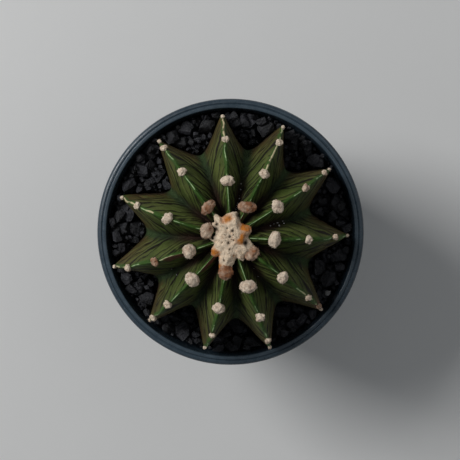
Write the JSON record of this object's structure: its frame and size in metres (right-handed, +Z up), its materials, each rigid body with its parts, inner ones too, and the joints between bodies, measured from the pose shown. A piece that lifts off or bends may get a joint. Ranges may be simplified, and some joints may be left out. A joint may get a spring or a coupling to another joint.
{
  "type": "potted round cactus",
  "caption": "Round spineless cactus with sharp ribs, woolly areoles on their edges and a woolly crown, in a tapered plastic pot dressed with black lava grit.",
  "frame": {"origin": "the pot's axis, in the plane that its foot stands on", "axes": "+Z up along the pot's axis; +Y to the back, +X to the right as seen from above with the back at the top"},
  "size_m": [0.091, 0.091, 0.108],
  "materials": {
    "pot_plastic": "satin slate-blue polypropylene, lightly scratched along the rim",
    "cactus_skin": "matt, waxy olive-green skin with fine dark growth lines and pale rib edges",
    "areole_wool": "short dense cream wool",
    "crown_wool": "cream wool with orange-brown tufts",
    "potting_mix": "dark crumbly peat and bark mix",
    "lava_grit": "crushed black lava, rough",
    "pumice": "pale porous pumice"
  },
  "bodies": {
    "root": {"areole_rib01_a": "areole_wool", "areole_rib01_b": "areole_wool", "areole_rib01_c": "areole_wool", "areole_rib02_a": "areole_wool", "areole_rib02_b": "areole_wool", "areole_rib02_c": "areole_wool", "areole_rib02_d": "areole_wool", "areole_rib03_a": "areole_wool", "areole_rib03_b": "areole_wool", "areole_rib03_c": "areole_wool", "areole_rib03_d": "areole_wool", "areole_rib04_a": "areole_wool", "areole_rib04_b": "areole_wool", "areole_rib04_c": "areole_wool", "areole_rib04_d": "areole_wool", "areole_rib05_a": "areole_wool", "areole_rib05_b": "areole_wool", "areole_rib05_c": "areole_wool", "areole_rib05_d": "areole_wool", "areole_rib05_e": "areole_wool", "areole_rib06_a": "areole_wool", "areole_rib06_b": "areole_wool", "areole_rib06_c": "areole_wool", "areole_rib06_d": "areole_wool", "areole_rib07_a": "areole_wool", "areole_rib07_b": "areole_wool", "areole_rib07_c": "areole_wool", "areole_rib07_d": "areole_wool", "areole_rib08_a": "areole_wool", "areole_rib08_b": "areole_wool", "areole_rib08_c": "areole_wool", "areole_rib08_d": "areole_wool", "areole_rib09_a": "areole_wool", "areole_rib09_b": "areole_wool", "areole_rib09_c": "areole_wool", "areole_rib09_d": "areole_wool", "areole_rib10_a": "areole_wool", "areole_rib10_b": "areole_wool", "areole_rib10_c": "areole_wool", "areole_rib10_d": "areole_wool", "areole_rib11_a": "areole_wool", "areole_rib11_b": "areole_wool", "areole_rib11_c": "areole_wool", "areole_rib11_d": "areole_wool", "cactus_body": "cactus_skin", "crown_wool": "crown_wool", "grit_layer": "lava_grit", "grit_stone_01": "lava_grit", "grit_stone_02": "lava_grit", "grit_stone_03": "lava_grit", "grit_stone_04": "lava_grit", "grit_stone_05": "lava_grit", "grit_stone_06": "lava_grit", "grit_stone_07": "lava_grit", "grit_stone_08": "lava_grit", "grit_stone_09": "lava_grit", "grit_stone_10": "lava_grit", "pot": "pot_plastic", "potting_mix": "potting_mix", "pumice_grain": "pumice"}
  },
  "joints": []
}
